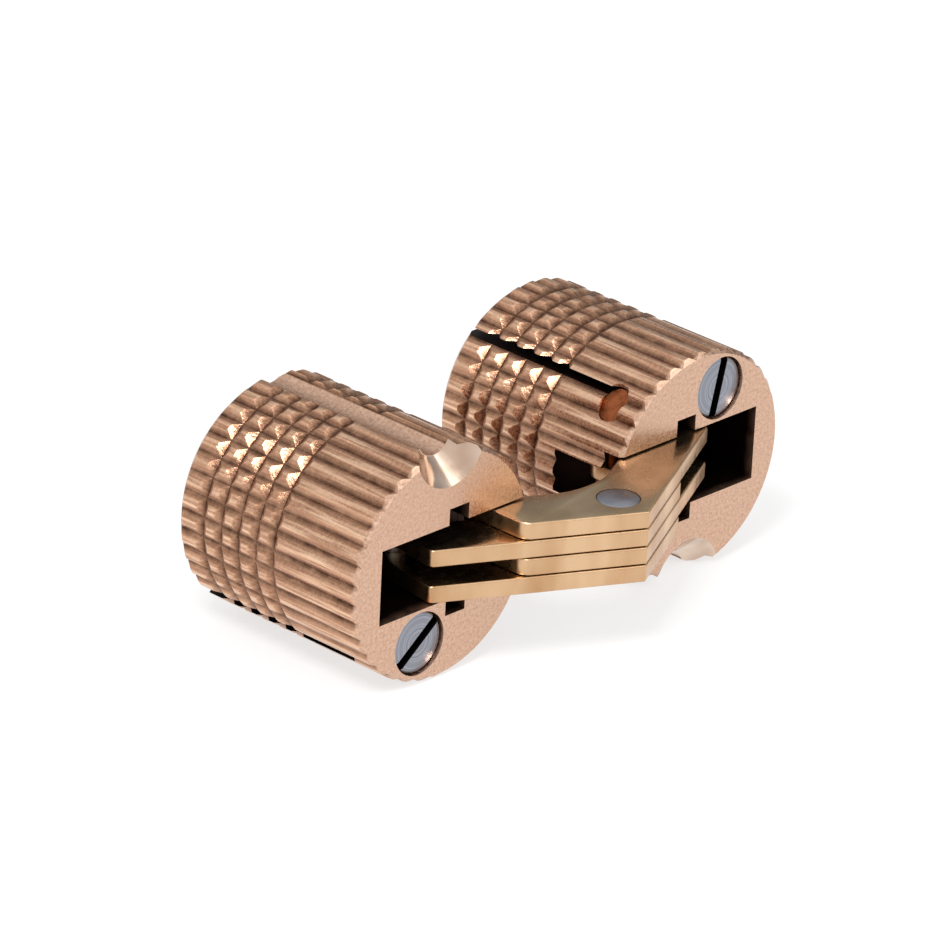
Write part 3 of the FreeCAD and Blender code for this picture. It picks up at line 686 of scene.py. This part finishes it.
GUIDE_CLEARANCE = 0.05 * MM
GUIDE_HALF = extent("frame_guide_pin").x / 2 + GUIDE_CLEARANCE
GUIDE_CLOSED = 11.967 * MM
GUIDE_DEPTH = 1.0 * MM
TRACK_LEAD = 1.0 * MM
TRACK_RUNOUT = 0.6 * MM
TRACK_START = GUIDE.y - TRACK_LEAD
TRACK_END = GUIDE_CLOSED + TRACK_RUNOUT
TRACK_BOW = 2.0 * MM
TRACK_STEPS = 8


def bowed_side():
    """Points along the bowed side of the guide track, from its rear end to its front end."""
    half = (TRACK_END - TRACK_START) / 2
    radius = (half ** 2 + TRACK_BOW ** 2) / (2 * TRACK_BOW)
    swing = math.asin(half / radius)
    middle_x = GUIDE.x - GUIDE_HALF - TRACK_BOW + radius
    turns = [swing * (1 - step / TRACK_STEPS) for step in range(2 * TRACK_STEPS + 1)]
    return [(middle_x - radius * math.cos(turn), TRACK_START + half + radius * math.sin(turn)) for turn in turns]


def slot_cutters():
    """The link slot, the window in its inner wall and the guide grooves beside it."""
    deep_x = -SLOT_OUTER - SLOT_RELIEF
    slot = prism([(-SLOT_OUTER, -PAST), (PAST, -PAST), (PAST, LIP_DEPTH), (LIP_X, LIP_DEPTH),
                  (LIP_X, WINDOW_DEPTH), (SLOT_INNER, WINDOW_DEPTH), (SLOT_INNER, SLOT_DEPTH),
                  (deep_x, SLOT_DEPTH), (deep_x, MOUTH_DEPTH), (-SLOT_OUTER, MOUTH_DEPTH)],
                 -SLOT_HALF, SLOT_HALF)
    window = prism([(WINDOW_X, WINDOW_FRONT), (PAST, WINDOW_FRONT), (PAST, WINDOW_BACK),
                    (WINDOW_X, WINDOW_BACK)], -WINDOW_HALF, WINDOW_HALF)
    groove_half = SLOT_HALF + GUIDE_DEPTH
    groove_end = GUIDE_CLOSED + GUIDE_HALF
    inner = GUIDE.x - GUIDE_HALF
    outer = GUIDE.x + GUIDE_HALF
    straight = [(inner, -PAST), (outer, -PAST), (outer, groove_end), (inner, groove_end)]
    groove = prism(straight + bowed_side(), -groove_half, groove_half)
    return [to_object("slot_cutter", slot, slot_shade_brass), to_object("window_cutter", window, slot_shade_brass),
            to_object("groove_cutter", groove, slot_shade_brass)]


print("slot", round(2 * SLOT_HALF / MM, 2), "mm high and", SLOT_DEPTH / MM, "mm deep")

# %% Cutters of the holes
HOLE_STEPS = 64
PIVOT = barrel_point("frame_pivot_pin")
PIVOT_CLEARANCE = 0.01 * MM
PIVOT_BORE = extent("frame_pivot_pin").x / 2 + PIVOT_CLEARANCE
SCREW = barrel_point("frame_expander_screw")
SCREW_RADIUS = extent("frame_expander_screw").x / 2
SCREW_LENGTH = extent("frame_expander_screw").y
SCREW_CLEARANCE = 0.05 * MM
SLIT_DROP = 5.05 * MM
SLIT_WIDTH = 0.48 * MM
SLIT_START = 2.0 * MM
SINK_X = 0.3 * MM
SINK_Z = 7.4 * MM
SINK_RADIUS = 2.7 * MM
SINK_STEP = 0.03 * MM
SHANK_RADIUS = 1.25 * MM


def round_cutter(name, profile, x, z, material):
    """A turned cutter along Y at a place of the face."""
    bm = turned(profile, HOLE_STEPS)
    bmesh.ops.translate(bm, verts=bm.verts, vec=(x, 0, z))
    return to_object(name, bm, material)


def bore_profile(radius, start, stop):
    """The profile of a plain round hole."""
    return [(0, start), (radius, start), (radius, stop), (0, stop)]


def hole_cutters(material):
    """Screw hole, saw slit, pivot hole and the recess for a wood screw."""
    bore = bore_profile(SCREW_RADIUS + SCREW_CLEARANCE, -PAST, SCREW_LENGTH)
    screw = round_cutter("screw_cutter", bore, SCREW.x, SCREW.z, material)
    low = -SLIT_DROP - SLIT_WIDTH / 2
    high = -SLIT_DROP + SLIT_WIDTH / 2
    slit = prism([(-PAST, SLIT_START), (PAST, SLIT_START), (PAST, 2 * PAST), (-PAST, 2 * PAST)], low, high)
    pivot = upright_bar(PIVOT.x, PIVOT.y, PIVOT_BORE, -PAST, PAST)
    cone = SINK_RADIUS - SHANK_RADIUS
    cone_end = cone - SINK_STEP
    taper = [(0, -cone), (SINK_RADIUS + cone, -cone), (SHANK_RADIUS + SINK_STEP, cone_end), (0, cone_end)]
    # The countersink's faces take the near-white brass of a painted highlight.
    sink = round_cutter("sink_cutter", taper, SINK_X, SINK_Z, sink_highlight_brass)
    shank_hole = bore_profile(SHANK_RADIUS, 0, 2 * PAST)
    shank = round_cutter("shank_cutter", shank_hole, SINK_X, SINK_Z, material)
    return [screw, to_object("slit_cutter", slit, slot_shade_brass), to_object("pivot_cutter", pivot, material),
            sink, shank]


print("saw slit", SLIT_WIDTH / MM, "mm wide, screw", round(2 * SCREW_RADIUS / MM, 2), "mm across")

# %% Make both barrels
def make_barrel(side, material):
    """Knurls, turns and carves one barrel, then puts it in its place."""
    barrel = to_object(side + "_barrel_turned", knurled_bar(), material)
    carve(barrel, to_object("envelope", turning_envelope(), material), operation="INTERSECT")
    carve(barrel, *slot_cutters(), *hole_cutters(material))
    barrel.data.transform(BARREL_PLACES[side])
    finish_edges(barrel, degrees=20)
    settle(barrel, side + "_half", "barrel_brass", side + "_barrel")


make_barrel("frame", frame_brass)
make_barrel("door", door_brass)

# %% [markdown]
# ## The cranked plates
# All four plates are one stamping, and every other one is turned over. The outline has only its corners; the
# corners are rounded by bevelling the upright edges with the radius that each one has on the real plate, and a
# second fine bevel breaks the sharp edges all round.

# %% Outline of a plate
CENTRE = middle("centre_pin")
SHORT_REACH = middle("door_pivot_pin").x
LONG_REACH = middle("door_guide_pin").x
PIVOT_RISE = middle("door_pivot_pin").y - CENTRE.y
GUIDE_RISE = middle("door_guide_pin").y - CENTRE.y
NOSE_REACH = 2.4 * MM
CRANK_ANGLE = math.radians(27.4)
CRANK = math.tan(CRANK_ANGLE)
STRIP_WIDTH = 3.6 * MM
STRIP_RISE = STRIP_WIDTH / math.cos(CRANK_ANGLE)
HOLLOW_RADIUS = 5.0 * MM
TONGUE_RADIUS = 1.12 * MM
HOOK_RADIUS = 1.25 * MM
CORNER_RADIUS = 0.4 * MM
SHOULDER_RADIUS = 0.9 * MM
LONG_CORNER = 0.9 * MM
CORNER_SEGMENTS = 10
SAME_SPOT = 0.0001 * MM


def front(x):
    """The front edge at a distance from the centre pin."""
    return CRANK * abs(x) - NOSE_REACH


def back(x):
    """The back edge at a distance from the centre pin."""
    return front(x) + STRIP_RISE


def plate_corners():
    """Corners (x, y, radius) about the centre pin, with the long arm towards -X."""
    shoulder = SHORT_REACH + TONGUE_RADIUS
    armpit = SHORT_REACH - TONGUE_RADIUS
    top = PIVOT_RISE + TONGUE_RADIUS
    hook = LONG_REACH - HOOK_RADIUS
    hook_top = GUIDE_RISE + HOOK_RADIUS
    corner = AXIS_X + LONG_CORNER
    return [(0, -NOSE_REACH, 0), (shoulder, front(shoulder), SHOULDER_RADIUS), (shoulder, top, TONGUE_RADIUS),
            (armpit, top, TONGUE_RADIUS), (armpit, back(armpit), 0), (0, back(0), HOLLOW_RADIUS),
            (-hook, back(hook), 0), (-hook, hook_top, HOOK_RADIUS),
            (-LONG_REACH - HOOK_RADIUS, hook_top, HOOK_RADIUS),
            (-corner, front(corner), CORNER_RADIUS)]


def round_corners(bm, corners):
    """Bevels each upright edge so that its corner gets its own radius."""
    for number, (x, y, radius) in enumerate(corners):
        if not radius:
            continue
        here = Vector((x, y))
        before = Vector(corners[number - 1][:2])
        after = Vector(corners[(number + 1) % len(corners)][:2])
        turn = (here - before).angle(after - here)
        upright = [edge for edge in bm.edges
                   if all((end.co.xy - here).length < SAME_SPOT for end in edge.verts)]
        bmesh.ops.bevel(bm, geom=upright, offset=radius * math.tan(turn / 2), offset_type="OFFSET",
                        segments=CORNER_SEGMENTS, profile=0.5, affect="EDGES", material=-1, clamp_overlap=False)
    bmesh.ops.remove_doubles(bm, verts=bm.verts, dist=WELD)


print("a plate has", len(plate_corners()), "corners")

# %% Make the four plates
EDGE_BREAK = 0.13 * MM
EDGE_SEGMENTS = 3
PIN_CLEARANCE = 0.03 * MM
FLAT_FACE = 0.9


def make_plate(number, body):
    """One plate: rounded outline, broken edges, three pin holes."""
    name = f"link_{number}"
    low, high = (Vector(corner).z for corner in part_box(name))
    corners = plate_corners()
    bm = prism([(x, y) for x, y, radius in corners], low, high)
    round_corners(bm, corners)
    break_level_edges(bm, EDGE_BREAK, EDGE_SEGMENTS)
    # Flat faces take the plate brass and upright edges the lighter copy, which is partly painted light.
    for face in bm.faces:
        face.material_index = 0 if abs(face.normal.z) > FLAT_FACE else 1
    plate = to_object(name + "_plate", bm, plate_brass, lit_shear_brass)
    holes = [(0, 0, "centre_pin"), (SHORT_REACH, PIVOT_RISE, "door_pivot_pin"),
             (-LONG_REACH, GUIDE_RISE, "door_guide_pin")]
    for x, y, pin in holes:
        bore = upright_bar(x, y, extent(pin).x / 2 + PIN_CLEARANCE, -PAST, 2 * PAST)
        carve(plate, to_object("pin_hole", bore, lit_shear_brass))
    turn = Matrix.Scale(-1, 4, (1, 0, 0)) if number % 2 else Matrix.Identity(4)
    plate.data.transform(Matrix.Translation((CENTRE.x, CENTRE.y, 0)) @ turn)
    if number % 2:
        plate.data.flip_normals()
    finish_edges(plate, degrees=35)
    settle(plate, body, "link_brass", name)


for number in (1, 2, 3, 4):
    make_plate(number, "frame_links" if number % 2 else "door_links")

# %% [markdown]
# ## Pins and screws
# The centre pin is riveted flush with the outer plates, the pivot pins were turned down together with the barrels,
# and each barrel has a slotted screw that spreads its rear end.

# %% Pins
PIN_BREAK = 0.08 * MM
PIN_SEGMENTS = 2


def make_pin(node, body, material):
    """A round pin with broken edges."""
    low, high = (Vector(corner).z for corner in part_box(node))
    spot = middle(node)
    bm = upright_bar(spot.x, spot.y, extent(node).x / 2, low, high)
    break_level_edges(bm, PIN_BREAK, PIN_SEGMENTS)
    pin = to_object(node + "_bar", bm, material)
    finish_edges(pin, degrees=40)
    settle(pin, body, "pin_steel", node)


make_pin("centre_pin", "frame_links", pin_steel)
make_pin("door_guide_pin", "frame_links", pin_steel)
make_pin("frame_guide_pin", "door_links", pin_steel)

# %% Pivot pins
PIN_RECESS = 0.28 * MM
PIN_TURNED = BARREL_RADIUS - PIN_RECESS


def make_pivot_pin(side):
    """A pivot pin whose two ends follow the turned barrel."""
    node = side + "_pivot_pin"
    spot = middle(node)
    bar = upright_bar(spot.x, spot.y, extent(node).x / 2, -PAST, 3 * PAST)
    pin = to_object(node + "_bar", bar, pivot_bronze)
    cut = turned(bore_profile(PIN_TURNED, -PAST, 3 * PAST), TURNING_STEPS)
    envelope = to_object("pin_turning", cut, pivot_bronze)
    envelope.data.transform(BARREL_PLACES[side])
    carve(pin, envelope, operation="INTERSECT")
    finish_edges(pin, degrees=40)
    settle(pin, side + "_half", "pivot_brass", node)


make_pivot_pin("frame")
make_pivot_pin("door")

# %% Screws
SCREW_CONE = 1.6 * MM
SCREW_TIP = 0.4 * MM
SCREW_BEVEL = 0.2 * MM
SCREW_SHOULDER = (0.06 * MM, 0.08 * MM)
SCREW_STEPS = 96
DRIVER_WIDTH = 0.6 * MM
DRIVER_DEPTH = 0.9 * MM
DRIVER_ANGLES = {"frame": 38.0, "door": 77.0}


def make_screw(side, material):
    """A headless screw along Y with a driver slot and a cone at its tip."""
    node = side + "_expander_screw"
    spot = middle(node)
    head_y = Vector(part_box(node)[0]).y
    straight = SCREW_LENGTH - SCREW_CONE
    inset, rise = SCREW_SHOULDER
    bm = turned([(0, 0), (SCREW_RADIUS - SCREW_BEVEL, 0), (SCREW_RADIUS - inset, rise),
                 (SCREW_RADIUS, SCREW_BEVEL), (SCREW_RADIUS, straight), (SCREW_TIP, SCREW_LENGTH),
                 (0, SCREW_LENGTH)], SCREW_STEPS)
    screw = to_object(node + "_turned", bm, material)
    half = DRIVER_WIDTH / 2
    groove = prism([(-PAST, -PAST), (PAST, -PAST), (PAST, DRIVER_DEPTH), (-PAST, DRIVER_DEPTH)], -half, half)
    # The driver slot's faces take a near-black colour as painted shade.
    driver = to_object("driver_cutter", groove, driver_shade)
    driver.data.transform(Matrix.Rotation(-math.radians(DRIVER_ANGLES[side]), 4, "Y"))
    carve(screw, driver)
    screw.data.transform(Matrix.Translation((spot.x, head_y, spot.z)))
    finish_edges(screw, degrees=30)
    settle(screw, side + "_screw", "screw_steel", node)


make_screw("frame", frame_steel)
make_screw("door", door_steel)

# %% [markdown]
# ## Studio and camera
# A plain pale floor, one soft key from the upper left and a large soft fill make the light of a catalogue picture.
# The world is brighter on the key's side, so the metal reflects a soft gradient instead of one flat tone. The camera
# stands where the photographer stood: a long lens from the left front, a little above.

# %% Floor
FLOOR_SIZE = 3.0
FLOOR_TONE = (0.9, 0.9, 0.9, 1)
FLOOR_ROUGHNESS = 0.8
FLOOR_GLOW = 0.7


def make_floor():
    """A large pale floor that looks white to the camera and keeps the shadow of the object."""
    bm = bmesh.new()
    bmesh.ops.create_grid(bm, x_segments=1, y_segments=1, size=FLOOR_SIZE)
    material = bpy.data.materials.new("studio_floor")
    material.use_nodes = True
    tree = material.node_tree
    shader = tree.nodes["Principled BSDF"]
    shader.inputs["Base Color"].default_value = FLOOR_TONE
    shader.inputs["Roughness"].default_value = FLOOR_ROUGHNESS
    glow = tree.nodes.new("ShaderNodeEmission")
    blend = tree.nodes.new("ShaderNodeMixShader")
    blend.inputs["Fac"].default_value = FLOOR_GLOW
    tree.links.new(shader.outputs[0], blend.inputs[1])
    tree.links.new(glow.outputs[0], blend.inputs[2])
    tree.links.new(blend.outputs[0], tree.nodes["Material Output"].inputs["Surface"])
    floor = to_object("studio_floor", bm, material)


make_floor()
print("floor", 2 * FLOOR_SIZE, "m wide")


# %% Lamps
def make_lamp(name, place, target, size, power):
    """A square area lamp that faces a target."""
    lamp = bpy.data.lights.new(name, "AREA")
    lamp.size = size
    lamp.energy = power
    item = bpy.data.objects.new(name, lamp)
    item.location = place
    item.rotation_euler = (Vector(target) - Vector(place)).to_track_quat("-Z", "Y").to_euler()
    bpy.context.scene.collection.objects.link(item)


AIM = (0.0, 0.0, AXIS_Z)
KEY_PLACE = (-0.25, -0.11, 0.38)
FILL_PLACE = (0.25, -0.45, 0.30)
make_lamp("key_lamp", KEY_PLACE, AIM, size=0.13, power=1.6)
make_lamp("fill_lamp", FILL_PLACE, AIM, size=0.40, power=1.0)
print("lamps:", [lamp.name for lamp in bpy.data.lights])

# %% World
KEY_SIDE = (-0.6, -0.3, 0.74)
WORLD_SPAN = (-0.5, 0.8)
WORLD_STRENGTH = (0.25, 1.05)
world = bpy.data.worlds.new("studio_world")
world.use_nodes = True
tree = world.node_tree
looking = tree.nodes.new("ShaderNodeTexCoord").outputs["Generated"]
toward_key = tree.nodes.new("ShaderNodeVectorMath")
toward_key.operation = "DOT_PRODUCT"
tree.links.new(looking, toward_key.inputs[0])
toward_key.inputs[1].default_value = KEY_SIDE
glow = map_range(tree, toward_key.outputs["Value"], *WORLD_SPAN, *WORLD_STRENGTH)
tree.links.new(glow, tree.nodes["Background"].inputs["Strength"])
tree.nodes["Background"].inputs["Color"].default_value = (1, 1, 1, 1)
bpy.context.scene.world = world
bpy.context.scene.view_settings.view_transform = "Standard"
print("world strength from", WORLD_STRENGTH[0], "to", WORLD_STRENGTH[1])

# %% Camera
LENS = 254.3
SENSOR = 36.0
NEAREST = 0.01
EYE = Vector((-257.18, -236.66, 166.22)) * MM
AIM_POINT = Vector((-1.471, 1.994, 7.629)) * MM
ROLL = math.radians(2.85)
camera_data = bpy.data.cameras.new("catalogue_camera")
camera_data.lens = LENS
camera_data.sensor_width = SENSOR
camera_data.clip_start = NEAREST
camera = bpy.data.objects.new("catalogue_camera", camera_data)
camera.location = EYE
level = (AIM_POINT - EYE).to_track_quat("-Z", "Y").to_matrix().to_4x4()
camera.rotation_euler = (level @ Matrix.Rotation(ROLL, 4, "Z")).to_euler()
bpy.context.scene.collection.objects.link(camera)
bpy.context.scene.camera = camera
print("camera", round((AIM_POINT - EYE).length / MM), "mm away")
